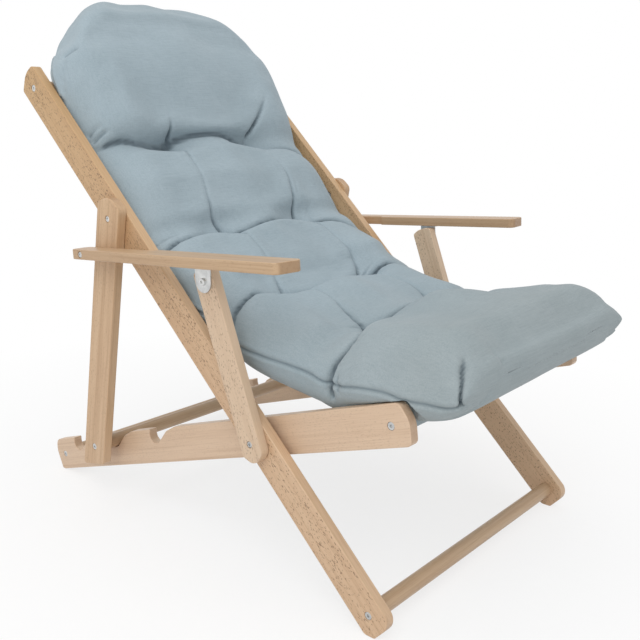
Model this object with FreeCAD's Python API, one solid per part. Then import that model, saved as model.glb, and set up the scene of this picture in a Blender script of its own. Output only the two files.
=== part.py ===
import FreeCAD, Part
import math, os
from FreeCAD import Vector

os.makedirs("parts", exist_ok=True)

# Folding armchair: all lengths in millimetres, angles in degrees.
# Side view runs u forward and z up; the frame has X across, Y = -u and Z up.

# Overall placing: how far the foot bolt lies ahead of the frame's origin
foot_bolt_ahead = 426.5
foot_bolt_height = 34.2

# Boards
rail_thickness = 18.5
arm_board_thickness = 18.0
armrest_thickness = 17.7
main_rail_width = 59.0
seat_rail_height = 65.4
prop_width = 61.5
support_width = 45.0
edge_round = 1.8

# Across: faces of each layer, from the centre plane out
seat_rail_inner = 256.4
rail_gap = 9.8
side_gap = 0.5

# Main rail, up and back from the foot bolt
main_slope = 137.58
centre_along = 317.7
prop_pivot_along = 798.0
head_bolt_along = 1125.0

# Seat rail, along its bottom edge from the rear corner
seat_slope = 19.35
centre_on_seat = 664.8
centre_above_seat_edge = 32.4
rear_bolt_on_seat = 24.0
front_bolt_inset = 31.8
crossbar_above_seat_edge = 32.6
notch_on_seat = 221.0
notch_spacing = 134.5
notch_depth = 11.5
notch_radius = 16.0
seat_front_length = 951.8

# The prop's crossbar lies in the middle notch, low and to the rear
rest_behind_notch = 1.4
rest_below_notch = 1.5

# Arm support and armrest
support_top_ahead = -102.01
support_top_above = 250.47
armrest_bolt_behind = 278.04
armrest_bolt_rise = 11.48
armrest_tilt = 5.19
armrest_set_out = 8.0
armrest_width = 52.5
armrest_gap = 1.3
armrest_step = 156.0
armrest_front = 484.0
armrest_front_cut = 6.0
armrest_rear = 28.0
armrest_corner = 11.0

# Crossbars and hardware
crossbar_radius = 13.5
screw_radius = 3.5
screw_grip = 42.0
screw_head_radius = 6.0
screw_head_height = 4.0
counterbore_radius = 6.6
counterbore_depth = 4.6
bolt_radius = 4.0
bolt_head_radius = 5.3
bolt_head_height = 3.6
bolt_head_edge = 1.0
bolt_recess_radius = 6.0
bolt_recess_depth = 4.2
nut_radius = 6.5
nut_height = 5.0
nut_recess = 6.0
nut_pocket_radius = 7.4
hex_radius = 2.9
hex_depth = 2.4
bore_clearance = 0.05
spacer_radius = 9.0
spacer_play = 0.2

# Bracket of folded sheet under each armrest
bracket_thickness = 2.0
bracket_play = 0.3
bracket_half = 18.0
bracket_flange = 26.0
bracket_bolt_radius = 3.0
bracket_bolt_reach = 17.0
flange_screw_radius = 1.8
flange_screw_head = 3.6
flange_screw_head_height = 1.4
flange_screw_length = 12.0
flange_screw_spread = 9.0
flange_screw_share = 0.6

# Cloth sleeves round the head and front crossbars
sleeve_play = 0.4
sleeve_thickness = 2.2
sleeve_clearance = 18.4

# Cushion: thickness, and how far it stays off what carries it
cushion_thickness = 110.0
cushion_gap = 0.5
tuft_share = 0.44
side_bulge_share = 0.06
side_step_share = 0.035
outer_crest_share = 0.8
# Back stations: along the main rail as a share of the head bolt's place, half width as a
# share of the seat rails' inner face, then rear, edge, tuft and crest as shares of the
# thickness, counted from the head sleeve
back_share = (
    (0.503, 0.975, -0.558, 0.213, 0.267, 0.358),
    (0.533, 0.983, -0.632, 0.158, 0.249, 0.431),
    (0.574, 0.983, -0.647, 0.085, 0.176, 0.449),
    (0.622, 0.983, -0.621, -0.024, 0.067, 0.358),
    (0.655, 0.983, -0.557, -0.133, -0.115, 0.104),
    (0.686, 0.983, -0.619, -0.06, 0.049, 0.34),
    (0.747, 0.983, -0.641, -0.005, 0.158, 0.467),
    (0.804, 0.983, -0.62, -0.042, 0.104, 0.395),
    (0.838, 0.983, -0.559, -0.096, -0.042, 0.14),
    (0.871, 0.983, -0.605, 0.031, 0.249, 0.449),
    (0.924, 1.006, -0.538, 0.195, 0.558, 0.685),
    (0.976, 1.053, 0.0, 0.304, 0.704, 0.795),
    (1.013, 1.076, 0.0, 0.376, 0.74, 0.813),
    (1.058, 1.065, 0.008, 0.413, 0.722, 0.785),
    (1.102, 0.967, 0.008, 0.413, 0.667, 0.731),
    (1.14, 0.811, 0.019, 0.395, 0.595, 0.649),
    (1.168, 0.605, 0.05, 0.358, 0.504, 0.549),
    (1.186, 0.382, 0.111, 0.304, 0.395, 0.431),
)
# Seat stations: ahead of the centre pivot as a share of the front crossbar's place, half
# width the same way, then underside, edge, tuft and crest, counted from the front sleeve
seat_share = (
    (-0.507, 1.006, 0.408, 0.697, 0.806, 0.897),
    (-0.374, 1.022, 0.235, 0.697, 0.861, 1.07),
    (-0.166, 1.03, 0.082, 0.679, 0.77, 1.07),
    (0.066, 1.03, -0.025, 0.534, 0.625, 0.897),
    (0.224, 1.03, -0.078, 0.443, 0.515, 0.715),
    (0.382, 1.022, -0.121, 0.515, 0.697, 0.952),
    (0.565, 0.983, -0.138, 0.643, 0.952, 1.143),
    (0.814, 0.983, -0.039, 0.77, 1.097, 1.225),
    (0.997, 0.983, 0.0, 0.825, 1.115, 1.215),
    (1.155, 0.983, 0.0, 0.825, 1.061, 1.152),
    (1.271, 1.037, -0.029, 0.752, 0.952, 1.025),
    (1.379, 1.045, 0.028, 0.606, 0.752, 0.806),
    (1.442, 1.022, 0.172, 0.461, 0.552, 0.588),
)

# Corners as shares of half the board's width: along, across, corner radius
foot_front_share = (-1.06, 1.0, 0.74)
foot_flat_share = 0.47574
heel_radius_share = (0.20, 0.34)
head_share = ((1.02, 1.0, 0.32), (1.29, 0.07, 1.3), (0.78, -1.0, 0.22))
prop_top_share = ((-0.78, 1.0, 0.45), (-1.20, 0.26, 0.78), (-1.20, -0.26, 0.78), (-0.78, -1.0, 0.45))
prop_foot_share = ((0.85, 1.0, 0.22), (1.69, -1.0, 0.16))
support_foot_share = ((-0.84, -1.0, 0.53), (-1.38, -0.31, 0.71), (-1.38, 0.31, 0.71), (-0.84, 1.0, 0.53))
support_top_share = ((0.76, 1.0, 0.31), (0.98, 0.36, 0.89), (0.98, -0.36, 0.89), (0.76, -1.0, 0.31))
# Seat rail ends as shares of its height
seat_heel_radius_share = (0.09, 0.05)
seat_rear_share = ((-0.08, 0.67, 0.46), (0.05, 1.0, 0.21))
seat_front_share = ((-0.058, 0, 0.15), (0.049, 0.55, 0.61), (-0.135, 1.0, 0.21))
# Notch corners as shares of its radius, from the front ramp back to the hook
ramp_share = ((3.9, 0.71, 1.25), (2.25, 0.30, 0.87))
notch_share = ((0.306, -1.0, 0.9), (-1.0, -1.0, 0.9), (-1.0, 0.272, 0.87))
hook_share = (-0.74, 0.722, 0.145)


def turn(along, across, slope):
    c = math.cos(math.radians(slope))
    s = math.sin(math.radians(slope))
    return along * c - across * s, along * s + across * c


# Faces of the layers across
seat_rail_outer = seat_rail_inner + rail_thickness
main_rail_inner = seat_rail_outer + rail_gap
main_rail_outer = main_rail_inner + rail_thickness
side_inner = main_rail_outer + side_gap
side_outer = side_inner + arm_board_thickness
armrest_inner = side_inner + armrest_set_out
armrest_outer = armrest_inner + armrest_width
armrest_narrow_inner = side_outer + armrest_gap
sleeve_half_length = seat_rail_inner - sleeve_clearance

# Points in side view
foot_bolt = (foot_bolt_ahead, foot_bolt_height)
front_bolt_on_seat = seat_front_length - front_bolt_inset
notch_above_edge = seat_rail_height - notch_depth


def on_main(along, front):
    u, z = turn(along, -front, main_slope)
    return foot_bolt[0] + u, foot_bolt[1] + z


centre = on_main(centre_along, 0)
prop_pivot = on_main(prop_pivot_along, 0)


def on_seat(along, above):
    u, z = turn(along - centre_on_seat, above - centre_above_seat_edge, seat_slope)
    return centre[0] + u, centre[1] + z


prop_bar = on_seat(notch_on_seat - rest_behind_notch, notch_above_edge - rest_below_notch)
prop_length = math.dist(prop_pivot, prop_bar)
prop_slope = math.degrees(math.atan2(prop_bar[1] - prop_pivot[1], prop_bar[0] - prop_pivot[0]))
support_top = (centre[0] + support_top_ahead, centre[1] + support_top_above)
support_length = math.dist(centre, support_top)
support_slope = math.degrees(math.atan2(support_top_above, support_top_ahead))
armrest_bolt = (support_top[0] - armrest_bolt_behind, support_top[1] + armrest_bolt_rise)


def point(u, z, x):
    return Vector(x, -u, z)


def placed(shape, origin, slope):
    # local x runs along, local y across (a quarter turn on), local z towards -X
    c = math.cos(math.radians(slope))
    s = math.sin(math.radians(slope))
    m = FreeCAD.Matrix(0, 0, -1, 0, -c, s, 0, -origin[0], s, c, 0, origin[1], 0, 0, 0, 1)
    shape.transformShape(m)
    return shape


def unit(a, b):
    d = math.dist(a, b)
    return (b[0] - a[0]) / d, (b[1] - a[1]) / d


def outline(corners):
    # closed outline through corners of (along, across, radius)
    runs = []
    count = len(corners)
    for k in range(count):
        x, y, r = corners[k]
        back = unit((x, y), corners[k - 1][:2])
        ahead = unit((x, y), corners[(k + 1) % count][:2])
        half_open = math.acos(back[0] * ahead[0] + back[1] * ahead[1]) / 2
        cut = r / math.tan(half_open)
        reach = r / math.sin(half_open) - r
        between = unit((0, 0), (back[0] + ahead[0], back[1] + ahead[1]))
        first = Vector(x + cut * back[0], y + cut * back[1], 0)
        middle = Vector(x + reach * between[0], y + reach * between[1], 0)
        last = Vector(x + cut * ahead[0], y + cut * ahead[1], 0)
        runs.append((first, middle, last))
    edges = []
    for k in range(count):
        first, middle, last = runs[k]
        edges.append(Part.Arc(first, middle, last).toShape())
        edges.append(Part.LineSegment(last, runs[(k + 1) % count][0]).toShape())
    return Part.Face(Part.Wire(edges))


def board(corners, thickness):
    solid = outline(corners).extrude(Vector(0, 0, thickness))
    rims = [e for e in solid.Edges if e.BoundBox.ZMax - e.BoundBox.ZMin < thickness / 2]
    return solid.makeFillet(edge_round, rims)


def side_board(corners, inner, outer, origin, slope):
    solid = board(corners, outer - inner)
    solid.translate(Vector(0, 0, -outer))
    return placed(solid, origin, slope)


def rod(centre_at, radius, x_from, x_to):
    start = point(centre_at[0], centre_at[1], x_from)
    return Part.makeCylinder(radius, x_to - x_from, start, Vector(1, 0, 0))


def hexagon(centre_at, radius, x_from, x_to):
    corners = []
    for k in range(7):
        a = math.radians(60 * k)
        y = -centre_at[0] + radius * math.cos(a)
        corners.append(Vector(x_from, y, centre_at[1] + radius * math.sin(a)))
    return Part.Face(Part.makePolygon(corners)).extrude(Vector(x_to - x_from, 0, 0))


def other_side(shape):
    return shape.mirror(Vector(0, 0, 0), Vector(1, 0, 0))


def save(name, shape):
    shape.exportStep("parts/" + name + ".step")


def save_pair(stem, left):
    save(stem + "_left", left)
    save(stem + "_right", other_side(left))


def scaled(share, size, ahead, sign):
    return ahead + share[0] * size, sign * share[1] * size, share[2] * size


def screw_bore(centre_at, inner, outer):
    hole = rod(centre_at, screw_radius + bore_clearance, inner, outer)
    return hole.fuse(rod(centre_at, counterbore_radius, outer - counterbore_depth, outer))


def screw(centre_at, inner, outer):
    seat = outer - counterbore_depth
    head = rod(centre_at, screw_head_radius, seat, seat + screw_head_height)
    head = head.cut(hexagon(centre_at, hex_radius, seat + screw_head_height - hex_depth, outer))
    return head.fuse(rod(centre_at, screw_radius, inner - screw_grip, seat))


def crossbar(centre_at, half_length):
    bar = rod(centre_at, crossbar_radius, -half_length, half_length)
    bore = rod(centre_at, screw_radius + bore_clearance, half_length - screw_grip, half_length)
    return bar.cut(bore).cut(other_side(bore))


def headed_bolt(centre_at, radius, head_radius, tip, seat):
    head = rod(centre_at, head_radius, seat, seat + bolt_head_height)
    top = [e for e in head.Edges if e.BoundBox.XMin > seat + bolt_head_height - bolt_head_edge]
    head = head.makeFillet(bolt_head_edge, top)
    socket_floor = seat + bolt_head_height - hex_depth
    head = head.cut(hexagon(centre_at, hex_radius, socket_floor, seat + bolt_head_height))
    return head.fuse(rod(centre_at, radius, tip, seat))


# Main rails
half = main_rail_width / 2
fall = math.cos(math.radians(main_slope - 90))
drop = math.sin(math.radians(main_slope - 90))
toe = ((half * drop - foot_bolt_height) / fall, half, heel_radius_share[1] * half)
end = toe[0] - foot_flat_share * half
heel = (end, (foot_bolt_height + end * fall) / drop, heel_radius_share[0] * half)
main_corners = [scaled(foot_front_share, half, 0, -1), heel, toe]
for share in reversed(head_share):
    main_corners.append(scaled(share, half, head_bolt_along, -1))
main_rail = side_board(main_corners, main_rail_inner, main_rail_outer, foot_bolt, main_slope)
head_bolt = on_main(head_bolt_along, 0)
for at in (foot_bolt, head_bolt):
    main_rail = main_rail.cut(screw_bore(at, main_rail_inner, main_rail_outer))
for at in (centre, prop_pivot):
    bore = rod(at, bolt_radius + bore_clearance, main_rail_inner, main_rail_outer)
    main_rail = main_rail.cut(bore)
pocket = rod(prop_pivot, nut_pocket_radius, main_rail_inner, main_rail_inner + nut_recess)
main_rail = main_rail.cut(pocket)
save_pair("main_rail", main_rail)

save("foot_crossbar", crossbar(foot_bolt, main_rail_inner))
save("head_crossbar", crossbar(head_bolt, main_rail_inner))
main_screws = []
for at in (foot_bolt, head_bolt):
    one = screw(at, main_rail_inner, main_rail_outer)
    main_screws += [one, other_side(one)]
save("main_frame_screws", Part.makeCompound(main_screws))

# Centre pivots: bolt through arm support, main rail, spacer and seat rail
shank = bolt_radius + bore_clearance
recess_floor = side_outer - bolt_recess_depth
centre_bolt = headed_bolt(centre, bolt_radius, bolt_head_radius, seat_rail_inner + bracket_play, recess_floor)
save("centre_bolts", Part.makeCompound([centre_bolt, other_side(centre_bolt)]))
spacer = rod(centre, spacer_radius, seat_rail_outer + spacer_play, main_rail_inner)
spacer = spacer.cut(rod(centre, shank, seat_rail_outer, main_rail_inner))
save("centre_spacers", Part.makeCompound([spacer, other_side(spacer)]))
nut_floor = seat_rail_inner + nut_recess - nut_height
centre_nut = hexagon(centre, nut_radius, nut_floor - spacer_play, seat_rail_inner + nut_recess - spacer_play)
centre_nut = centre_nut.cut(rod(centre, shank, seat_rail_inner, seat_rail_outer))
save("centre_nuts", Part.makeCompound([centre_nut, other_side(centre_nut)]))

# Prop pivots: bolt through prop and main rail
prop_bolt = headed_bolt(prop_pivot, bolt_radius, bolt_head_radius, main_rail_inner + bracket_play, recess_floor)
save("prop_bolts", Part.makeCompound([prop_bolt, other_side(prop_bolt)]))
prop_nut_from = main_rail_inner + nut_recess - nut_height
prop_nut = hexagon(prop_pivot, nut_radius, prop_nut_from, main_rail_inner + nut_recess)
prop_nut = prop_nut.cut(rod(prop_pivot, shank, main_rail_inner, main_rail_outer))
save("prop_nuts", Part.makeCompound([prop_nut, other_side(prop_nut)]))

# Seat rails with three hooked notches in the upper edge
height = seat_rail_height
rise = math.sin(math.radians(seat_slope))
run = math.cos(math.radians(seat_slope))
sunk = centre_above_seat_edge * run + centre_on_seat * rise - centre[1]
seat_corners = [(sunk / rise, 0, seat_heel_radius_share[0] * height)]
for share in seat_front_share:
    seat_corners.append(scaled(share, height, seat_front_length, 1))
for k in (1, 0, -1):
    at = notch_on_seat + k * notch_spacing
    for share in ramp_share + notch_share + (hook_share,):
        x, y, r = scaled(share, notch_radius, at, 1)
        seat_corners.append((x, y + notch_above_edge, r))
    seat_corners[-6] = (seat_corners[-6][0], height, seat_corners[-6][2])
    seat_corners[-1] = (seat_corners[-1][0], height, seat_corners[-1][2])
for share in reversed(seat_rear_share):
    seat_corners.append(scaled(share, height, 0, 1))
seat_corners.append((0, sunk / run, seat_heel_radius_share[1] * height))
seat_rail = side_board(seat_corners, seat_rail_inner, seat_rail_outer, on_seat(0, 0), seat_slope)
rear_bar = on_seat(rear_bolt_on_seat, crossbar_above_seat_edge)
front_bar = on_seat(front_bolt_on_seat, crossbar_above_seat_edge)
for at in (rear_bar, front_bar):
    seat_rail = seat_rail.cut(screw_bore(at, seat_rail_inner, seat_rail_outer))
seat_rail = seat_rail.cut(rod(centre, shank, seat_rail_inner, seat_rail_outer))
seat_rail = seat_rail.cut(rod(centre, nut_pocket_radius, seat_rail_inner, seat_rail_inner + nut_recess))
save_pair("seat_rail", seat_rail)

save("seat_rear_crossbar", crossbar(rear_bar, seat_rail_inner))
save("seat_front_crossbar", crossbar(front_bar, seat_rail_inner))
seat_screws = []
for at in (rear_bar, front_bar):
    one = screw(at, seat_rail_inner, seat_rail_outer)
    seat_screws += [one, other_side(one)]
save("seat_frame_screws", Part.makeCompound(seat_screws))

# Prop: two uprights and the crossbar that drops into the notches
half = prop_width / 2


prop_corners = [scaled(share, half, 0, 1) for share in reversed(prop_top_share)]
prop_corners += [scaled(share, half, prop_length, 1) for share in prop_foot_share]
upright = side_board(prop_corners, side_inner, side_outer, prop_pivot, prop_slope)
upright = upright.cut(rod(prop_pivot, shank, side_inner, side_outer))
upright = upright.cut(rod(prop_pivot, bolt_recess_radius, recess_floor, side_outer))
upright = upright.cut(screw_bore(prop_bar, side_inner, side_outer))
save_pair("prop_upright", upright)
save("prop_crossbar", crossbar(prop_bar, side_inner))
one = screw(prop_bar, side_inner, side_outer)
save("prop_screws", Part.makeCompound([one, other_side(one)]))

# Arm supports
half = support_width / 2


support_corners = [scaled(share, half, 0, 1) for share in support_foot_share]
support_corners += [scaled(share, half, support_length, 1) for share in support_top_share]
support = side_board(support_corners, side_inner, side_outer, centre, support_slope)
support = support.cut(rod(centre, shank, side_inner, side_outer))
support = support.cut(rod(centre, bolt_recess_radius, recess_floor, side_outer))
grip_end = side_outer + bracket_play + bracket_thickness
bracket_tip = grip_end - bracket_bolt_reach
support = support.cut(rod(support_top, bracket_bolt_radius + bore_clearance, bracket_tip, side_outer))
save_pair("arm_support", support)
bracket_bolt = headed_bolt(support_top, bracket_bolt_radius, screw_head_radius, bracket_tip, grip_end)
save("bracket_bolt_left", bracket_bolt)
save("bracket_bolt_right", other_side(bracket_bolt))

# Armrests, drawn from above: along, then out from the centre plane
r = armrest_corner
armrest_corners = [
    (-armrest_rear, armrest_narrow_inner, r),
    (-armrest_rear, armrest_outer, r),
    (armrest_front - armrest_front_cut, armrest_outer, r),
    (armrest_front, armrest_inner, r),
    (armrest_step, armrest_inner, r / 2),
    (armrest_step, armrest_narrow_inner, r / 2),
]
armrest = board(armrest_corners, armrest_thickness)
armrest.translate(Vector(0, 0, -armrest_thickness / 2))


def on_armrest(shape):
    # local x forward along the board, local y out, local z up
    c = math.cos(math.radians(armrest_tilt))
    s = math.sin(math.radians(armrest_tilt))
    o = armrest_bolt
    shape.transformShape(FreeCAD.Matrix(0, 1, 0, 0, -c, 0, s, -o[0], s, 0, c, o[1], 0, 0, 0, 1))
    return shape


armrest = on_armrest(armrest)
rear_floor = armrest_outer - bolt_recess_depth
rear_bore = rod(armrest_bolt, bracket_bolt_radius + bore_clearance, armrest_narrow_inner, rear_floor)
rear_bore = rear_bore.fuse(rod(armrest_bolt, bolt_recess_radius, rear_floor, armrest_outer))
armrest = armrest.cut(rear_bore)

# Bracket: a flange under the board and a rounded plate beside the support
pivot_along, pivot_up = turn(support_top[0] - armrest_bolt[0], support_top[1] - armrest_bolt[1], -armrest_tilt)
under = -armrest_thickness / 2
b_in = side_outer + bracket_play
b_rear = pivot_along - bracket_half
b_front = pivot_along + bracket_half
b_low = pivot_up - bracket_half
plate_low = Vector(b_rear, b_in, pivot_up)
plate = Part.makeBox(2 * bracket_half, bracket_thickness, under - pivot_up, plate_low)
round_at = Vector(pivot_along, b_in, pivot_up)
plate = plate.fuse(Part.makeCylinder(bracket_half, bracket_thickness, round_at, Vector(0, 1, 0)))
flange_low = Vector(b_rear, b_in, under - bracket_thickness)
flange = Part.makeBox(2 * bracket_half, bracket_flange, bracket_thickness, flange_low)
bracket = plate.fuse(flange).removeSplitter()
flange_screws = []
for k in (-1, 1):
    sx = pivot_along + k * flange_screw_spread
    sy = b_in + bracket_flange * flange_screw_share
    up = Vector(0, 0, 1)
    seat_at = Vector(sx, sy, under - bracket_thickness)
    tool = Part.makeCylinder(flange_screw_radius + bore_clearance, bracket_thickness, seat_at, up)
    bracket = bracket.cut(tool)
    hole_depth = flange_screw_length - bracket_thickness
    hole = Part.makeCylinder(flange_screw_radius + bore_clearance, hole_depth, Vector(sx, sy, under), up)
    armrest = armrest.cut(on_armrest(hole))
    stem = Part.makeCylinder(flange_screw_radius, flange_screw_length, seat_at, up)
    cap_at = Vector(sx, sy, under - bracket_thickness - flange_screw_head_height)
    cap = Part.makeCylinder(flange_screw_head, flange_screw_head_height, cap_at, up)
    flange_screws.append(on_armrest(stem.fuse(cap)))
bracket = on_armrest(bracket)
bracket = bracket.cut(rod(support_top, bracket_bolt_radius + bore_clearance, b_in, b_in + bracket_thickness))
save_pair("armrest", armrest)
save_pair("arm_bracket", bracket)
save_pair("bracket_screws", Part.makeCompound(flange_screws))
rear_bolt = headed_bolt(armrest_bolt, bracket_bolt_radius, bolt_head_radius, side_outer + side_gap, rear_floor)
save_pair("armrest_bolt", rear_bolt)

# Sleeves that hold the cushion on its two crossbars
for name, at in (("head_sleeve", head_bolt), ("front_sleeve", front_bar)):
    tube = rod(at, crossbar_radius + sleeve_play + sleeve_thickness, -sleeve_half_length, sleeve_half_length)
    tube = tube.cut(rod(at, crossbar_radius + sleeve_play, -sleeve_half_length, sleeve_half_length))
    save(name, tube)


def cushion(stations, span, rest, put):
    # stations of place, half width, low face, edge, tuft and crest
    rings = []
    for row in stations:
        pos = row[0] * span
        wide = row[1] * seat_rail_inner
        low, edge, tuft, crest = [rest + share * cushion_thickness for share in row[2:]]
        t = tuft_share * wide
        e = side_step_share * wide
        mid = (low + edge) / 2
        rim = low + (edge - low) * side_bulge_share
        outer_crest = tuft + (crest - tuft) * outer_crest_share
        p = [
            put(pos, -wide + e, rim), put(pos, 0, low), put(pos, wide - e, rim),
            put(pos, wide, mid), put(pos, wide - e, edge),
            put(pos, (wide + t) / 2, outer_crest), put(pos, t, tuft),
            put(pos, 0, crest), put(pos, -t, tuft),
            put(pos, -(wide + t) / 2, outer_crest), put(pos, -wide + e, edge),
            put(pos, -wide, mid),
        ]
        edges = []
        for k in range(0, 12, 2):
            edges.append(Part.Arc(p[k], p[k + 1], p[(k + 2) % 12]).toShape())
        rings.append(Part.Wire(edges))
    return Part.makeLoft(rings, True, True)


def put_back(pos, x, front_off):
    u, z = on_main(pos, front_off)
    return point(u, z, x)


def put_seat(pos, x, above):
    return point(centre[0] + pos, centre[1] + above, x)


sleeve_outer = crossbar_radius + sleeve_play + sleeve_thickness
head_rest = sleeve_outer + cushion_gap
front_rest = front_bar[1] - centre[1] + sleeve_outer + cushion_gap
seat_span = front_bar[0] - centre[0]
save("cushion_back", cushion(back_share, head_bolt_along, head_rest, put_back))
save("cushion_seat", cushion(seat_share, seat_span, front_rest, put_seat))
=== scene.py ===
import bpy
import math
import numpy as np
from mathutils import Matrix, Vector


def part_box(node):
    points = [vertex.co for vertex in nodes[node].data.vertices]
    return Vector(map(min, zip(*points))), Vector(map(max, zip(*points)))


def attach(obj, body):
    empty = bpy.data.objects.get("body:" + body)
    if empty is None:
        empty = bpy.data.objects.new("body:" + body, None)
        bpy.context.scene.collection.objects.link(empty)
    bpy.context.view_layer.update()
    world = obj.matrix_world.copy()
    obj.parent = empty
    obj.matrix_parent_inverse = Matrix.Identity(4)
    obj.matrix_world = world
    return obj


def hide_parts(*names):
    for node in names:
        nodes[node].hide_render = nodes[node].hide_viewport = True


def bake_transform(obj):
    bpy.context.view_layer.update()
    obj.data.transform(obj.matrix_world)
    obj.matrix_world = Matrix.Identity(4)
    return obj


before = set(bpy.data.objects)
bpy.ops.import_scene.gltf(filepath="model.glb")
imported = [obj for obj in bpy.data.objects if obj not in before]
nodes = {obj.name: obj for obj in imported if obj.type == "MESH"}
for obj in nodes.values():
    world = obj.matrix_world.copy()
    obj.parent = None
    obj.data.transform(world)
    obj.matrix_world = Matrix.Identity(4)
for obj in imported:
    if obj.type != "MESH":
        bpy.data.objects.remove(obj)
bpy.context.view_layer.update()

scene = bpy.context.scene

# Slopes of the boards seen from the side, in degrees up from straight ahead
main_rail_slope = 137.58
seat_rail_slope = 19.35
prop_upright_slope = -99.05
arm_support_slope = 112.16
armrest_slope = 5.19


def new_mesh(name, points, faces):
    made = bpy.data.meshes.new(name)
    made.from_pydata(points, [], faces)
    made.update()
    made.polygons.foreach_set("use_smooth", [True] * len(made.polygons))
    return made


def new_object(name, data):
    made = bpy.data.objects.new(name, data)
    scene.collection.objects.link(made)
    return made


# Materials


class Shader:
    """One node material, built from short calls."""

    def __init__(self, name):
        self.mat = bpy.data.materials.new(name)
        self.mat.use_nodes = True
        self.tree = self.mat.node_tree
        self.bsdf = self.tree.nodes["Principled BSDF"]

    def put(self, socket, value):
        """Links or sets one input."""
        if isinstance(value, bpy.types.NodeSocket):
            self.tree.links.new(value, socket)
        else:
            socket.default_value = value

    def node(self, kind, **values):
        """A new node, with values for its settings and its inputs."""
        n = self.tree.nodes.new("ShaderNode" + kind)
        for key, value in values.items():
            if hasattr(n, key):
                setattr(n, key, value)
            else:
                self.put(n.inputs[key.replace("_", " ")], value)
        return n

    def mapped(self, vector, scale=(1, 1, 1), turn=(0, 0, 0)):
        return self.node("Mapping", Vector=vector, Rotation=turn, Scale=scale).outputs[0]

    def at(self, kind, scale=(1, 1, 1), turn=(0, 0, 0)):
        """Texture coordinates of one kind, turned and scaled."""
        return self.mapped(self.node("TexCoord").outputs[kind], scale, turn)

    def axis(self, vector, letter):
        return self.node("SeparateXYZ", Vector=vector).outputs[letter]

    def noise(self, vector, cells, detail=3.0, rough=0.55, warp=0.0):
        """Noise with so many cells to the metre, the same each way or one number for each axis."""
        if isinstance(cells, tuple):
            vector = self.mapped(vector, cells)
            cells = 1.0
        n = self.node("TexNoise", Vector=vector, Scale=cells, Detail=detail, Roughness=rough, Distortion=warp)
        return n.outputs["Fac"]

    def ramp(self, value, first, last):
        """A grey that goes from one (place, level) stop to another."""
        n = self.node("ValToRGB", Fac=value)
        for stop, (place, level) in zip(n.color_ramp.elements, (first, last)):
            stop.position = place
            stop.color = (level, level, level, 1)
        return n.outputs["Color"]

    def math(self, how, a, b=0.0):
        n = self.node("Math", operation=how)
        self.put(n.inputs[0], a)
        self.put(n.inputs[1], b)
        return n.outputs[0]

    def times(self, a, b):
        return self.math("MULTIPLY", a, b)

    def absolute(self, value):
        return self.math("ABSOLUTE", value)

    def mix(self, factor, a, b, how="MIX"):
        n = self.node("Mix", data_type="RGBA", blend_type=how, Factor=factor)
        for socket, value in zip([s for s in n.inputs if s.type == "RGBA"], (a, b)):
            self.put(socket, (*value, 1) if isinstance(value, tuple) else value)
        return [s for s in n.outputs if s.type == "RGBA"][0]

    def bump(self, height, distance, strength, over=None):
        n = self.node("Bump", Height=height, Distance=distance, Strength=strength)
        if over is not None:
            self.put(n.inputs["Normal"], over)
        return n.outputs[0]

    def finish(self, **values):
        """The material, once its main shader has these inputs."""
        for key, value in values.items():
            self.put(self.bsdf.inputs[key.replace("_", " ")], value)
        return self.mat


def linear(*colour):
    """A screen colour, 0 to 255, as linear light."""
    return tuple(((c / 255 + 0.055) / 1.055) ** 2.4 for c in colour)


def wood(name, turn, flecks, amber, tones):
    """Beech: grain along local Y after the turn, flecks on the faces that look sideways, amber higher up."""
    light, mid, dark = tones
    pore_tone = tuple(c * 0.52 for c in dark)
    golden = (0.88, 0.83, 0.64)
    grain_depth = 0.00022
    s = Shader(name)
    at = s.at("Object", turn=turn)
    broad = s.noise(at, (9, 0.9, 14), 3.0, 0.5, 0.4)
    line = s.noise(at, (170, 2.4, 170), 4.0, 0.65, 0.3)
    fine = s.noise(at, (900, 26, 900), 2.0, 0.6)
    colour = s.mix(s.ramp(broad, (0.36, 0.0), (0.64, 1.0)), light, mid)
    colour = s.mix(s.ramp(line, (0.48, 0.0), (0.74, 0.50)), colour, dark)
    colour = s.mix(s.ramp(fine, (0.48, 0.0), (0.72, 0.22)), colour, dark)
    patches = s.noise(at, (30, 9, 30), 2.0, 0.5)
    pore = s.math("ADD", s.noise(at, (520, 190, 520), 1.0, 0.45), s.times(patches, 0.26))
    pore = s.ramp(pore, (0.755, 0.0), (0.80, 1.0))
    sideways = s.ramp(s.absolute(s.axis(s.at("Normal"), "X")), (0.80, 0.0), (0.95, 1.0))
    pore = s.times(s.times(pore, sideways), 0.08 + 0.66 * flecks)
    colour = s.mix(pore, colour, pore_tone)
    lengthways = s.absolute(s.axis(s.at("Normal", turn=turn), "Y"))
    colour = s.mix(s.ramp(lengthways, (0.80, 0.0), (0.98, 0.5)), colour, dark)
    higher = s.ramp(s.axis(s.at("Object"), "Z"), (0.30, 0.0), (0.85, 1.0))
    colour = s.mix(s.times(higher, amber), colour, golden, "MULTIPLY")
    rough = s.ramp(line, (0.3, 0.34), (0.8, 0.48))
    normal = s.bump(s.math("SUBTRACT", line, s.times(pore, 1.2)), grain_depth, 0.55)
    return s.finish(Base_Color=colour, Roughness=rough, Normal=normal, Specular_IOR_Level=0.5)


def zinc():
    s = Shader("zinc_plate")
    at = s.at("Object")
    spots = s.noise(at, 420.0)
    clouds = s.ramp(s.noise(at, 60.0), (0.35, 0.0), (0.7, 1.0))
    colour = s.mix(clouds, linear(222, 223, 222), linear(190, 191, 191))
    rough = s.ramp(spots, (0.3, 0.30), (0.75, 0.48))
    return s.finish(Base_Color=colour, Metallic=1.0, Roughness=rough, Normal=s.bump(spots, 0.0001, 0.3))


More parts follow.
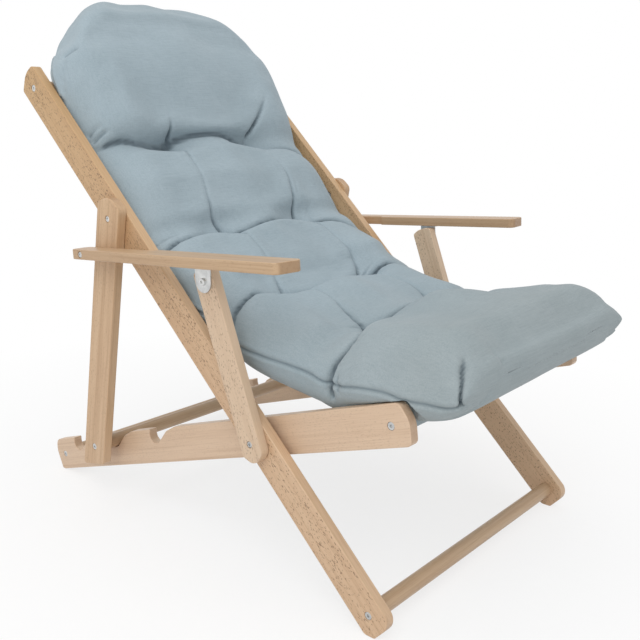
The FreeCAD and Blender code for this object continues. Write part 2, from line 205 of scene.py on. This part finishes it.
# Colours of the cotton, and tints that are laid over it. The crease colour is painted shade, the head tint is
# painted shade, and the grey tint, where it is laid towards the front, is painted light
cotton = linear(156, 172, 180)
cotton_pale = linear(165, 180, 188)
thread_shade = linear(125, 142, 151)
fibre = linear(192, 204, 208)
seam_shade = linear(88, 103, 112)
# Painted shade: the dark colour laid along the creases
painted_crease_shade = linear(66, 80, 90)
greyer = (0.93, 0.88, 0.83)
# Painted shade: the tint that dulls the cotton at the head
painted_head_shade = (0.90, 0.88, 0.86)


def cloth(name, size, sewn=False, grey=0.0):
    """Plain weave cotton, scaled by the size of the piece's box so that the weave keeps to the cloth.

    A sewn piece shows the seam and the creases that its mesh carries, with painted shade darkening the
    creases, and is tinted by place: painted light turns it greyer towards the front and painted shade dulls
    it at the head.
    """
    s = Shader(name)
    at = s.at("Generated", size)
    soft = s.ramp(s.noise(at, 7.0, 4.0, 0.6), (0.3, 0.0), (0.7, 1.0))
    slub_across = s.noise(at, (26, 620, 620), 3.0, 0.6)
    slub_along = s.noise(at, (760, 60, 60), 3.0, 0.6)
    weave = s.math("ADD", s.times(slub_across, 0.6), s.times(slub_along, 0.4))
    grit = s.noise(at, 620.0, 2.0, 0.7)
    colour = s.mix(soft, cotton, cotton_pale)
    colour = s.mix(s.ramp(weave, (0.38, 0.30), (0.58, 0.0)), colour, thread_shade)
    colour = s.mix(s.ramp(grit, (0.50, 0.0), (0.72, 0.20)), colour, fibre)
    colour = s.mix(grey, colour, greyer, "MULTIPLY")
    if sewn:
        # Painted light: the cotton is tinted greyer and warmer towards the front, standing in for the light
        # that falls there
        painted_front_light = s.ramp(s.axis(at, "Y"), (0.08, 1.0), (0.42, 0.0))
        colour = s.mix(painted_front_light, colour, greyer, "MULTIPLY")
        # Painted shade: the cotton is dulled at the head, standing in for the shade that falls there
        painted_head_shade_mask = s.ramp(s.axis(at, "Z"), (0.62, 0.0), (0.74, 1.0))
        colour = s.mix(painted_head_shade_mask, colour, painted_head_shade, "MULTIPLY")
        from_seam = s.absolute(s.node("Attribute", attribute_name="seam").outputs["Fac"])
        colour = s.mix(s.ramp(from_seam, (0.0004, 0.55), (0.0017, 0.0)), colour, seam_shade)
        # Painted shade: a dark line laid along the creases, where shade falls in the folds
        crease = s.node("Attribute", attribute_name="crease").outputs["Fac"]
        colour = s.mix(s.ramp(crease, (0.2, 0.0), (0.95, 0.68)), colour, painted_crease_shade)
    height = s.math("ADD", weave, s.times(grit, 0.5))
    rumple = s.bump(s.noise(at, (30, 55, 55), 3.0, 0.55, 0.8), 0.006, 0.16)
    return s.finish(Base_Color=colour, Roughness=0.92, Normal=s.bump(height, 0.0007, 0.5, rumple),
                    Specular_IOR_Level=0.25, Sheen_Weight=0.12, Sheen_Roughness=0.5)


def along(slope):
    """The turn that lays the grain along a board of this slope."""
    return (math.radians(slope) - math.pi, 0, 0)


# Tones of the beech: light, middle and dark
tan = (linear(215, 184, 151), linear(205, 171, 137), linear(166, 127, 93))
pale = (linear(217, 190, 163), linear(208, 179, 151), linear(176, 142, 112))
warm = (linear(197, 168, 136), linear(186, 155, 123), linear(152, 117, 86))
honey = (linear(209, 178, 144), linear(199, 165, 130), linear(160, 121, 87))
cream = (linear(222, 198, 171), linear(213, 187, 159), linear(181, 149, 119))
# Slope, share of flecks, share of amber and tones of each kind of board
boards = {
    "main_rail": (main_rail_slope, 1.0, 1.0, tan),
    "seat_rail": (seat_rail_slope, 0.12, 0.0, pale),
    "prop_upright": (prop_upright_slope, 0.2, 0.3, honey),
    "arm_support": (arm_support_slope, 0.8, 0.0, cream),
    "armrest": (armrest_slope, 0.1, 0.3, warm),
}
looks = {}
for stem, (slope, flecks, amber, tones) in boards.items():
    looks[stem] = wood("beech_" + stem, along(slope), flecks, amber, tones)
across = (0, 0, math.radians(90))
dowel = wood("beech_dowel", across, 0.25, 0.0, warm)
steel = zinc()
for name, piece in nodes.items():
    stem = name.removesuffix("_left").removesuffix("_right")
    piece.data.materials.clear()
    piece.data.materials.append(looks.get(stem, dowel if "crossbar" in name else steel))

# The cushion, in mm: x across, u forward and z up. Its back is measured from the foot of the main rails'
# centre line, along it and square to it, and its seat from a level line over the centre pivot
rail_angle = math.radians(main_rail_slope)
foot = np.array([426.5, 34.2])
rail = np.array([math.cos(rail_angle), math.sin(rail_angle)])
front = np.array([math.sin(rail_angle), -math.cos(rail_angle)])
foot_to_pivot = 317.7
pivot = foot + foot_to_pivot * rail
seat_line = 84.7

# Place, half width, sideways shift, then heights: underside, rim, shoulder, tuft line and middle
back_rows = [
    (1309, 97, 10, 29, 38, 74, 72, 77), (1283, 159, 8, 23, 34, 107, 103, 108),
    (1223, 215, 2, 19, 44, 139, 136, 141), (1179, 248, 1, 17, 42, 139, 135, 139),
    (1147, 266, -2, 17, 42, 133, 128, 139), (1114, 280, -4, 19, 40, 132, 127, 135),
    (1073, 283, -2, 18, 26, 126, 120, 125), (1029, 279, 0, -42, 6, 119, 104, 109),
    (966, 279, 0, -49, -5, 94, 72, 80), (931, 279, 0, -45, -11, 60, 42, 62),
    (899, 279, 0, -53, -12, 64, 57, 69), (838, 279, 0, -56, -11, 67, 61, 74),
    (772, 279, 0, -54, -12, 49, 47, 60), (740, 279, 0, -48, -11, 34, 26, 51),
    (709, 279, 0, -55, -8, 53, 46, 60), (658, 279, 0, -60, -1, 68, 58, 68),
    (611, 279, 0, -62, 7, 91, 63, 71), (578, 279, 0, -59, 13, 89, 60, 67),
]
seat_rows = [
    (-110, 279, 0, 42, 88, 140, 110, 121), (-76, 278, 0, 10, 58, 140, 125, 137),
    (-22, 277, 0, -8, 50, 131, 117, 137), (38, 273, 0, -18, 46, 120, 94, 112),
    (75, 267, 0, -26, 40, 97, 92, 118), (104, 267, 0, -30, 31, 111, 97, 132),
    (131, 265, 0, -25, 31, 130, 122, 153), (176, 273, 0, -8, 42, 142, 140, 162),
    (222, 277, 6, -5, 46, 152, 148, 157), (253, 277, 6, -4, 43, 154, 149, 155),
    (287, 279, 9, 3, 45, 152, 146, 150), (314, 279, 12, 13, 50, 140, 131, 135),
    (338, 278, 12, 31, 60, 114, 105, 108),
]
# Rows that close the ends: half width, share left of the end row's height, and how far on they lie
head_closing = (56, 0.3, rail * 12)
front_closings = ((274, 0.78, (8, 3)), (269, 0.46, (13, 7)), (262, 0.10, (15, 9)))
# Way along the cushion at its first row, spacing of the grid and points round each row
head_run = 17.2
grid_step = 6.0
points_round = 204


def closed(row, width, share, beyond):
    """A row beyond an end row, narrower and lower."""
    points = np.array(row[2:]).reshape(-1, 2)
    rim = points[1]
    return [width, row[1], *(rim + share * (points - rim) + beyond).ravel()]


def spline(rows, at):
    """Smooth curve through the rows, at places 0 .. len(rows) - 1."""
    k = np.clip(at.astype(int), 0, len(rows) - 2)
    f = (at - k).reshape(-1, *[1] * (rows.ndim - 1))
    m = np.gradient(rows, axis=0)
    a, b = rows[k], rows[k + 1]
    return ((2 * f**3 - 3 * f**2 + 1) * a + (f**3 - 2 * f**2 + f) * m[k]
            + (3 * f**2 - 2 * f**3) * b + (f**3 - f**2) * m[k + 1])


def even(rows, step):
    """The same profile in even steps along the cushion, and the way along it at each step."""
    samples = 6000
    closing_pace = 0.6
    at = np.linspace(0, len(rows) - 1, samples)
    dense = spline(rows, at)
    underside, tuft_line, middle = dense[:, 2:4], dense[:, 8:10], dense[:, 10:12]

    def moved(points):
        return np.linalg.norm(np.diff(points, axis=0), axis=1)

    closing = (at[1:] < 1) | (at[1:] > len(rows) - 1 - len(front_closings))
    pace = moved((underside + tuft_line) / 2)
    run = np.where(closing, (moved(underside) + moved(middle)) * closing_pace, pace)
    run = np.concatenate([[0], np.cumsum(run)])
    run += head_run - np.interp(1, at, run)
    place = np.linspace(run[0], run[-1], int((run[-1] - run[0]) / step) + 1)
    return np.stack([np.interp(place, run, dense[:, j]) for j in range(dense.shape[1])], 1), place


def ease(t):
    t = np.clip(t, 0, 1)
    return t * t * (3 - 2 * t)


def section(row, count):
    """One closed loop across, from the top middle round, with the way to each point and to the rim."""
    low, rim, shoulder, tuft, middle = (row[2 + 2 * i:4 + 2 * i] for i in range(5))
    tuft_out, shoulder_out = 0.44, 0.30
    top_power, under_power = 5, 12
    edge, edge_power = 0.88, 2.2
    near_edge = np.linspace(1, 0, 90)[1:] ** edge_power
    t = np.concatenate([np.linspace(0, edge, 110), 1 - (1 - edge) * near_edge])
    col = t[:, None]
    top = tuft + (1 - ease(col / tuft_out)) * (middle - tuft)
    top += ease((col - tuft_out) / shoulder_out) * (shoulder - tuft)
    top = rim + (top - rim) * np.sqrt(np.maximum(1 - col**top_power, 0))
    under = rim + (low - rim) * np.sqrt(np.maximum(1 - col**under_power, 0))
    x = row[1] + np.concatenate([t, t[-2::-1], -t[1:], -t[-2:0:-1]]) * row[0]
    ring = np.column_stack([x, np.concatenate([top, under[-2::-1], under[1:], top[-2:0:-1]])])
    ring = np.vstack([ring, ring[:1]])
    run = np.concatenate([[0], np.cumsum(np.linalg.norm(np.diff(ring, axis=0), axis=1))])
    at = np.linspace(0, run[-1], count, endpoint=False)
    loop = np.stack([np.interp(at, run, ring[:, j]) for j in range(3)], 1)
    return loop, np.where(at > run[-1] / 2, at - run[-1], at), run[len(t) - 1]


def outward(grid):
    """Unit normals of the closed grid."""
    n = np.cross(np.gradient(grid, axis=0), np.roll(grid, -1, 1) - np.roll(grid, 1, 1))
    n /= np.maximum(np.linalg.norm(n, axis=2, keepdims=True), 1e-9)
    return n * np.sign((n * (grid - grid.mean(1, keepdims=True))).sum())


def bell(distance, width):
    return np.exp(-(distance / width) ** 2)


def nearest(points, place, way):
    """Distance from every grid point to a line drawn on the cloth, and the line's depth there."""
    far, depth = np.full(way.shape, 1e9), np.zeros(way.shape)
    p = np.array(points, float)
    for a, b in zip(p[:-1], p[1:]):
        d = b[:2] - a[:2]
        f = np.clip(((place - a[0]) * d[0] + (way - a[1]) * d[1]) / (d @ d), 0, 1)
        gap = np.hypot(place - a[0] - f * d[0], way - a[1] - f * d[1])
        new = gap < far
        far = np.where(new, gap, far)
        depth = np.where(new, a[2] + f * (b[2] - a[2]), depth)
    return far, depth


profile = [[r[1], r[2], *(v for h in r[3:] for v in foot + r[0] * rail + h * front)] for r in back_rows]
profile += [[r[1], r[2], *(v for h in r[3:] for v in pivot + (r[0], seat_line + h))] for r in seat_rows]
closings = [closed(profile[-1], *closing) for closing in front_closings]
profile = np.array([closed(profile[0], *head_closing), *profile, *closings])
lines, run = even(profile, grid_step)
loops = [section(row, points_round) for row in lines]
rest = np.array([loop[0] for loop in loops])
way = np.array([loop[1] for loop in loops])
way_to_rim = np.array([[loop[2]] for loop in loops])
place = np.repeat(run[:, None], points_round, 1)

# The seat rises a little towards its far side
near_side = -262
far_rise = 0.018
rise_start, rise_length = 1180, 120
rest[..., 2] += far_rise * (rest[..., 0] - near_side) * ease((run - rise_start) / rise_length)[:, None]

# The side seam, as each point's way past it: on the rim, lower at the front, and lost towards both ends
front_drop, drop_start, drop_length = 15, 1270, 70
seam = np.abs(way) - way_to_rim - front_drop * ease((run - drop_start) / drop_length)[:, None]
seam_start, seam_stop = 150, 1354
lost, fade_length = 40, 20
fade = lost * (1 - ease(np.minimum(run - seam_start, seam_stop - run) / fade_length))

# Folds drawn on the cloth: reach, then points with the place along the cushion, the way out from its middle
# and a depth, in mm
folds = [
    # First row of tufts, under the head
    (13, [(407, -296, 4), (411, -270, 11), (414, -236, 17), (421, -197, 18), (421, -150, 21),
          (418, -112, 28)]),
    (14, [(418, -112, 28), (414, -92, 25), (411, -56, 20), (411, -15, 19), (412, 24, 20), (416, 62, 23),
          (424, 108, 28)]),
    (13, [(424, 108, 28), (434, 130, 25), (438, 165, 20), (446, 200, 19), (457, 235, 18), (467, 262, 12),
          (475, 292, 4)]),
    (7, [(410, 110, 15), (384, 134, 11), (354, 160, 8), (328, 186, 1)]),
    (9, [(418, -108, 18), (395, -106, 9), (360, -102, 1)]),
    (5, [(391, -297, 8), (389, -272, 8), (395, -246, 1)]),
    (5, [(374, -305, 8), (372, -284, 6), (380, -262, 1)]),
    (6, [(201, -280, 8), (202, -255, 7), (208, -239, 1)]),
    (4, [(206, -283, 3), (226, -291, 4), (240, -307, 4), (262, -316, 3)]),
    (9, [(395, 300, 5), (387, 268, 6), (376, 238, 1)]),
    # Second row
    (11, [(659, -291, 4), (650, -262, 12), (639, -232, 16), (632, -189, 17), (626, -150, 20),
          (633, -112, 28)]),
    (13, [(633, -112, 28), (641, -94, 22), (638, -60, 17), (633, -20, 16), (627, 30, 17), (624, 70, 20),
          (628, 108, 28)]),
    (11, [(628, 108, 28), (644, 138, 20), (648, 170, 16), (659, 200, 16), (675, 228, 14), (689, 262, 11),
          (697, 291, 2)]),
    (5, [(635, -284, 6), (626, -250, 7), (621, -214, 5), (620, -180, 1)]),
    (5, [(646, 120, 7), (616, 150, 5), (590, 172, 1)]),
    # Third row
    (11, [(885, -330, 4), (882, -290, 9), (874, -250, 13), (864, -210, 14), (855, -160, 16),
          (854, -112, 28)]),
    (13, [(854, -112, 28), (862, -90, 19), (864, -50, 15), (862, 0, 14), (858, 50, 15), (853, 80, 19),
          (851, 108, 28)]),
    (11, [(851, 108, 28), (854, 138, 18), (849, 170, 14), (858, 200, 14), (870, 232, 13), (878, 264, 10),
          (883, 310, 3)]),
    (5, [(846, 116, 8), (826, 150, 4), (816, 178, 1)]),
    (5, [(858, -118, 8), (882, -150, 4), (891, -182, 1)]),
    # Fourth row
    (11, [(1093, -342, 11), (1090, -322, 14), (1089, -303, 15), (1092, -281, 15), (1101, -258, 15),
          (1105, -238, 15), (1097, -205, 15), (1078, -165, 18), (1060, -135, 21), (1044, -111, 28)]),
    (13, [(1044, -111, 28), (1048, -84, 19), (1051, -40, 14), (1052, 0, 13), (1050, 45, 14), (1046, 80, 19),
          (1043, 109, 28)]),
    (11, [(1043, 109, 28), (1052, 145, 16), (1058, 190, 14), (1062, 226, 13), (1070, 262, 11),
          (1082, 320, 4)]),
    (6, [(1109, -330, 7), (1105, -308, 7), (1109, -286, 1)]),
    (6, [(1040, -118, 9), (1035, -148, 6), (1038, -176, 1)]),
    (6, [(1050, -104, 8), (1068, -86, 4), (1086, -72, 1)]),
    # Down the columns
    (8, [(423, -110, 13), (440, -98, 8), (481, -104, 6), (521, -108, 6), (561, -116, 7), (603, -120, 9),
         (628, -113, 14)]),
    (5, [(427, -106, 6), (448, -88, 3), (471, -82, 1)]),
    (8, [(428, 108, 12), (446, 116, 4), (491, 130, 4), (531, 132, 7), (577, 120, 9), (624, 109, 14)]),
    (5, [(513, 142, 2), (549, 142, 5), (592, 126, 4), (616, 114, 1)]),
    (8, [(637, -108, 13), (661, -84, 6), (707, -84, 6), (767, -98, 6), (820, -108, 9), (851, -112, 14)]),
    (8, [(633, 110, 13), (667, 136, 6), (707, 139, 6), (747, 141, 7), (801, 130, 9), (848, 110, 14)]),
    (8, [(858, -108, 13), (901, -84, 6), (943, -91, 6), (985, -101, 8), (1040, -110, 14)]),
    (8, [(854, 110, 12), (901, 126, 4), (961, 135, 6), (991, 132, 8), (1038, 111, 14)]),
    (7, [(1050, -112, 9), (1082, -116, 3), (1121, -118, 1)]),
    (7, [(1050, 110, 9), (1082, 112, 3), (1121, 112, 1)]),
    # Over the front edge
    (8, [(1294, -180, 1), (1312, -175, 4), (1330, -171, 5), (1350, -166, 5), (1361, -160, 1)]),
]
# Sewn corner at the front, near each side seam
corner = ((1306, 232, 3), (1312, 243, 7), (1317, 257, 9), (1325, 271, 9), (1332, 284, 9), (1335, 296, 9),
          (1334, 308, 8))
corners = [[(at, side * out, depth) for at, out, depth in corner] for side in (-1, 1)]
corner_reach = 6
tufts = [(418, -111), (424, 109), (633, -111), (628, 109), (854, -111), (851, 109), (1044, -110), (1043, 109)]

# How far the sewing pulls the cloth in, and how firmly each point is held against the filling
sewn_lines = folds + [(corner_reach, points) for points in corners]
drawn = [(reach, *nearest(points, place, way)) for reach, points in sewn_lines]
fold_power, joining_power = 1.1, 3
pulls = [(depth * np.exp(-(far / reach) ** fold_power)) ** joining_power for reach, far, depth in drawn]
pull = sum(pulls) ** (1 / joining_power)
firm_depth, stitch_width, tuft_radius = 10, 5.0, 9
held = np.max([np.clip(depth / firm_depth, 0, 1) * bell(far, stitch_width)
               for reach, far, depth in drawn], axis=0)
for at, out in tufts:
    held = np.maximum(held, np.hypot(place - at, way - out) < tuft_radius)
off_seam = np.abs(seam) + fade[:, None]
seam_hold, under_hold, end_hold = 0.45, 0.3, 0.5
held = np.maximum(held, seam_hold * bell(off_seam, stitch_width))
top_share = 0.62
under = np.abs(way) > np.abs(way).max(1, keepdims=True) * top_share
held = np.where(under, np.maximum(held, under_hold), held)
for end_rows in (held[:4], held[-5:]):
    np.maximum(end_rows, end_hold, out=end_rows)
# Between the sewing the top starts a little slack, and swells back
tight_pull, top_slack, seam_reach = 8, 3.0, 30
free = 1 - np.clip(pull / tight_pull, 0, 1)
slack = np.where(under, 0, top_slack) * free * (1 - bell(off_seam, seam_reach))
normal = outward(rest)
sewn = rest - normal * (pull + slack)[..., None]
plump = normal * slack[..., None]


def grid_mesh(name, rings):
    """A closed mesh over the rings, with flat strips across both ends."""
    rows, count = rings.shape[:2]
    points = np.stack([rings[..., 0], -rings[..., 1], rings[..., 2]], -1).reshape(-1, 3) / 1000
    k = np.arange(rows * count).reshape(rows, count)
    n = np.roll(k, -1, axis=1)
    faces = np.stack([k[:-1], n[:-1], n[1:], k[1:]], -1).reshape(-1, 4).tolist()
    for end in (0, rows - 1):
        for j in range(count // 2):
            quad = [k[end, j], k[end, j + 1], k[end, (count - j - 1) % count], k[end, (count - j) % count]]
            quad = [int(v) for i, v in enumerate(quad) if v not in quad[:i]]
            faces.append(quad if end else quad[::-1])
    return new_mesh(name, points.tolist(), faces)


def softened(values, cells):
    """The values evened out over a few points each way."""
    reach = 6
    share = np.exp(-0.5 * (np.arange(-reach, reach + 1) / cells) ** 2)
    share /= share.sum()
    rows = np.pad(values, ((reach, reach), (0, 0), (0, 0)), "edge")
    values = sum(w * rows[i:i + len(values)] for i, w in enumerate(share))
    return sum(w * np.roll(values, i - reach, 1) for i, w in enumerate(share))


def filled(rings):
    """The sewn cover blown up by its filling: a cloth simulation with the stitched lines held."""
    frames, least_hold = 20, 0.01
    cover = new_object("cover", grid_mesh("cover", rings))
    group = cover.vertex_groups.new(name="held")
    for i, hold in enumerate(held.ravel()):
        if hold > least_hold:
            group.add([i], float(hold), "REPLACE")
    simulation = cover.modifiers.new("cloth", "CLOTH")
    simulation.collision_settings.use_self_collision = False
    how = simulation.settings
    how.quality = 6
    how.mass = 0.25
    how.tension_stiffness = how.compression_stiffness = 20
    how.shear_stiffness = 6
    how.bending_stiffness = 6.0
    how.use_pressure = True
    how.uniform_pressure_force = 4.0
    how.effector_weights.gravity = 0
    how.shrink_min = 0.0
    how.vertex_group_mass = "held"
    how.pin_stiffness = 1.0
    for frame_number in range(1, frames + 1):
        scene.frame_set(frame_number)
    shape = cover.evaluated_get(bpy.context.evaluated_depsgraph_get()).data
    points = np.empty(len(shape.vertices) * 3)
    shape.vertices.foreach_get("co", points)
    points = points.reshape(*rings.shape) * 1000
    scene.frame_set(1)
    bpy.data.objects.remove(cover)
    blown = np.stack([points[..., 0], -points[..., 1], points[..., 2]], -1) - rings
    # The swelling is capped, evened out away from the sewing, and fades to the drawn shape at both ends
    cap = 12.0
    end_fade = 40
    blown *= np.minimum(1, cap / np.maximum(np.linalg.norm(blown, axis=2, keepdims=True), 1e-9))
    blown += free[..., None] * (softened(blown, 2.0) - blown)
    inside = ease(np.minimum(run - run[0], run[-1] - run) / end_fade)[:, None, None]
    return rings + plump + inside * (blown - plump)


def clear(rings):
    """Keeps the cushion between the main rails, and above the seat rails with their round front ends."""
    x, u, z = (rings[..., i].copy() for i in range(3))
    before_rail = (u - foot[0]) * front[0] + (z - foot[1]) * front[1]
    up_rail = (u - foot[0]) * rail[0] + (z - foot[1]) * rail[1]
    rail_front, rail_top, rail_gap = 31, 1160, 281
    beside = (before_rail < rail_front) & (up_rail > 0) & (up_rail < rail_top)
    x = np.where(beside, np.clip(x, -rail_gap, rail_gap), x)
    seat_rail_inner, seat_rail_outer = 252.5, 277.5
    seat_rail_rear, seat_rail_end = 60, 492
    edge_at, edge_height, edge_rise = 192, 285.5, 0.3512
    round_from, round_over, round_drop = 448, 45, 90
    edge = edge_height + edge_rise * (u - edge_at)
    edge -= round_drop * np.clip((u - round_from) / round_over, 0, 1) ** 2
    over = (np.abs(x) > seat_rail_inner) & (np.abs(x) < seat_rail_outer)
    over &= (u > seat_rail_rear) & (u < seat_rail_end)
    z = np.where(over, np.maximum(z, edge), z)
    return np.stack([x, u, z], -1)


def double_rows(values):
    """Twice as many rows, along a smooth curve."""
    return spline(values, np.linspace(0, len(values) - 1, 2 * len(values) - 1))


def double(values):
    """Twice as many rows, and twice as many points round each."""
    v = double_rows(values).swapaxes(0, 1)
    v = spline(np.concatenate([v[-2:], v, v[:3]]), np.arange(2 * len(v)) / 2 + 2)
    return v.swapaxes(0, 1)


# The swollen cover on a finer grid, with the seam's groove and the creases of the folds
fine = double(clear(filled(sewn)))
fine_seam = double(seam)
fine_seam = np.where(fine_seam < 0, -1, 1) * (np.abs(fine_seam) + double_rows(fade)[:, None])
around = fine.shape[1]
fine_way = (np.arange(around) + around // 2) % around - around // 2
fine_way = fine_way * double_rows(way[:, 1])[:, None] / 2
fine_place = np.broadcast_to(double_rows(run)[:, None], fine_way.shape)
crease_width, crease_depth, crease_flat = 3.1, 4.5, 1.25
least_fold, fold_span, corner_span = 3, 9, 5
creased = [(nearest(points, fine_place, fine_way), fold_span) for reach, points in folds]
creased += [(nearest(points, fine_place, fine_way), corner_span) for points in corners]
crease = np.max([np.clip((depth - least_fold) / span, 0, 1)
                 * np.minimum(crease_flat * bell(far, crease_width), 1)
                 for (far, depth), span in creased], axis=0)
groove_width, groove_depth = 2.6, 3.2
welt_beside, welt_width, welt_height = 7.5, 3.5, 1.6
welt = welt_height * bell(np.abs(fine_seam) - welt_beside, welt_width)
groove = groove_depth * bell(fine_seam, groove_width) - welt
fine = clear(fine - outward(fine) * (groove + crease_depth * crease)[..., None])

mesh = grid_mesh("cushion", fine)
for name, values in (("seam", fine_seam / 1000), ("crease", crease)):
    mesh.attributes.new(name, "FLOAT", "POINT").data.foreach_set("value", values.ravel())
mesh.materials.append(cloth("cushion_cotton", tuple(np.ptp(fine.reshape(-1, 3), axis=0) / 1000), sewn=True))
cushion = new_object("tufted_cushion", mesh)
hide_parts("cushion_back", "cushion_seat")
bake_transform(cushion)

# The cloth loops that hold the cushion to its crossbars


def sleeve(name, node, body, grey):
    """A slightly wrinkled tube of cloth in the place of the node."""
    lo, hi = (Vector(v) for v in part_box(node))
    mid, r = (lo + hi) / 2, (hi.z - lo.z) / 2
    across, around = 90, 28
    thickness = 0.0012
    points, faces = [], []
    for i in range(across + 1):
        x = lo.x + (hi.x - lo.x) * i / across
        for j in range(around):
            a = 2 * math.pi * j / around
            wrinkled = r * (1 + 0.012 * math.sin(3 * a + 19 * x) + 0.010 * math.sin(5 * a - 47 * x))
            points.append((x, mid.y + wrinkled * math.cos(a), mid.z + wrinkled * math.sin(a)))
    for i in range(across):
        for j in range(around):
            a, b = i * around + j, i * around + (j + 1) % around
            faces.append((a, b, b + around, a + around))
    tube = new_mesh(name, points, faces)
    tube.materials.append(cloth(name + "_cotton", tuple(hi - lo), grey=grey))
    o = new_object(name, tube)
    shell = o.modifiers.new("cloth", "SOLIDIFY")
    shell.thickness = thickness
    shell.offset = -1
    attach(o, body)
    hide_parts(node)


sleeve("head_loop", "head_sleeve", "main_frame", 0.0)
sleeve("front_loop", "front_sleeve", "seat_frame", 0.85)

# Floor, light and camera


def paper():
    """Pale floor that shows white to the camera away from the chair, and keeps its shadow near it."""
    s = Shader("floor_paper")
    reach = 4.0
    grain = s.noise(s.at("Object"), 30.0)
    s.finish(Base_Color=s.mix(grain, (0.93, 0.93, 0.93), (0.95, 0.95, 0.95)), Roughness=0.9,
             Specular_IOR_Level=0.1)
    away = s.node("VectorMath", operation="LENGTH")
    s.put(away.inputs[0], s.at("Object"))
    far = s.ramp(s.math("DIVIDE", away.outputs["Value"], reach), (0.10, 0.72), (0.32, 1.0))
    ray = s.node("LightPath")
    seen = s.math("MAXIMUM", ray.outputs["Is Camera Ray"], ray.outputs["Is Glossy Ray"])
    surface = s.node("MixShader")
    s.put(surface.inputs[0], s.times(seen, far))
    s.put(surface.inputs[1], s.bsdf.outputs[0])
    s.put(surface.inputs[2], s.node("Emission").outputs[0])
    s.put(s.tree.nodes["Material Output"].inputs["Surface"], surface.outputs[0])
    return s.mat


half, level = 30, -0.0004
sheet = [(-half, -half, level), (half, -half, level), (half, half, level), (-half, half, level)]
floor = new_object("floor", new_mesh("floor", sheet, [(0, 1, 2, 3)]))
floor.data.materials.append(paper())


def studio():
    """White surroundings, as bright as white to the camera and in reflections, and dimmer as light."""
    as_light, as_seen = 0.66, 1.0
    world = bpy.data.worlds.new("studio")
    world.use_nodes = True
    tree = world.node_tree
    ray = tree.nodes.new("ShaderNodeLightPath")
    seen = tree.nodes.new("ShaderNodeMath")
    seen.operation = "MAXIMUM"
    tree.links.new(ray.outputs["Is Camera Ray"], seen.inputs[0])
    tree.links.new(ray.outputs["Is Glossy Ray"], seen.inputs[1])
    strength = tree.nodes.new("ShaderNodeMapRange")
    tree.links.new(seen.outputs[0], strength.inputs["Value"])
    strength.inputs["To Min"].default_value = as_light
    strength.inputs["To Max"].default_value = as_seen
    background = tree.nodes["Background"]
    background.inputs["Color"].default_value = (1, 1, 1, 1)
    tree.links.new(strength.outputs[0], background.inputs["Strength"])
    return world


def softbox(name, place, watts):
    """A square lamp of soft light, aimed at the middle of the chair."""
    aim = Vector((0, 0, 0.4))
    lamp = bpy.data.lights.new(name, "AREA")
    lamp.shape = "RECTANGLE"
    lamp.size = lamp.size_y = 2.4
    lamp.energy = watts
    o = new_object(name, lamp)
    o.location = place
    o.rotation_euler = (aim - Vector(place)).to_track_quat("-Z", "Y").to_euler()


scene.world = studio()
softbox("key", (-2.3, -1.3, 2.9), 46)
softbox("fill", (-0.2, 1.0, 3.4), 16)

# The camera's place in metres, its direction in degrees and its lens in mm, as in the photograph
camera_place = (-1.21281, -1.08946, 0.78742)
azimuth = math.radians(-49.73)
elevation = math.radians(14.68)
roll = math.radians(1.28)
back = Vector((math.sin(azimuth) * math.cos(elevation), -math.cos(azimuth) * math.cos(elevation),
               math.sin(elevation)))
right = Vector((0, 0, 1)).cross(back).normalized()
up = back.cross(right)
rolled_right = math.cos(roll) * right + math.sin(roll) * up
rolled_up = -math.sin(roll) * right + math.cos(roll) * up
camera = new_object("camera", bpy.data.cameras.new("camera"))
camera.data.sensor_width = 36
camera.data.lens = 47.706
camera.data.clip_start = 0.05
turned = Matrix((rolled_right, rolled_up, back)).transposed().to_4x4()
camera.matrix_world = Matrix.Translation(camera_place) @ turned
scene.camera = camera
scene.view_settings.view_transform = "Standard"
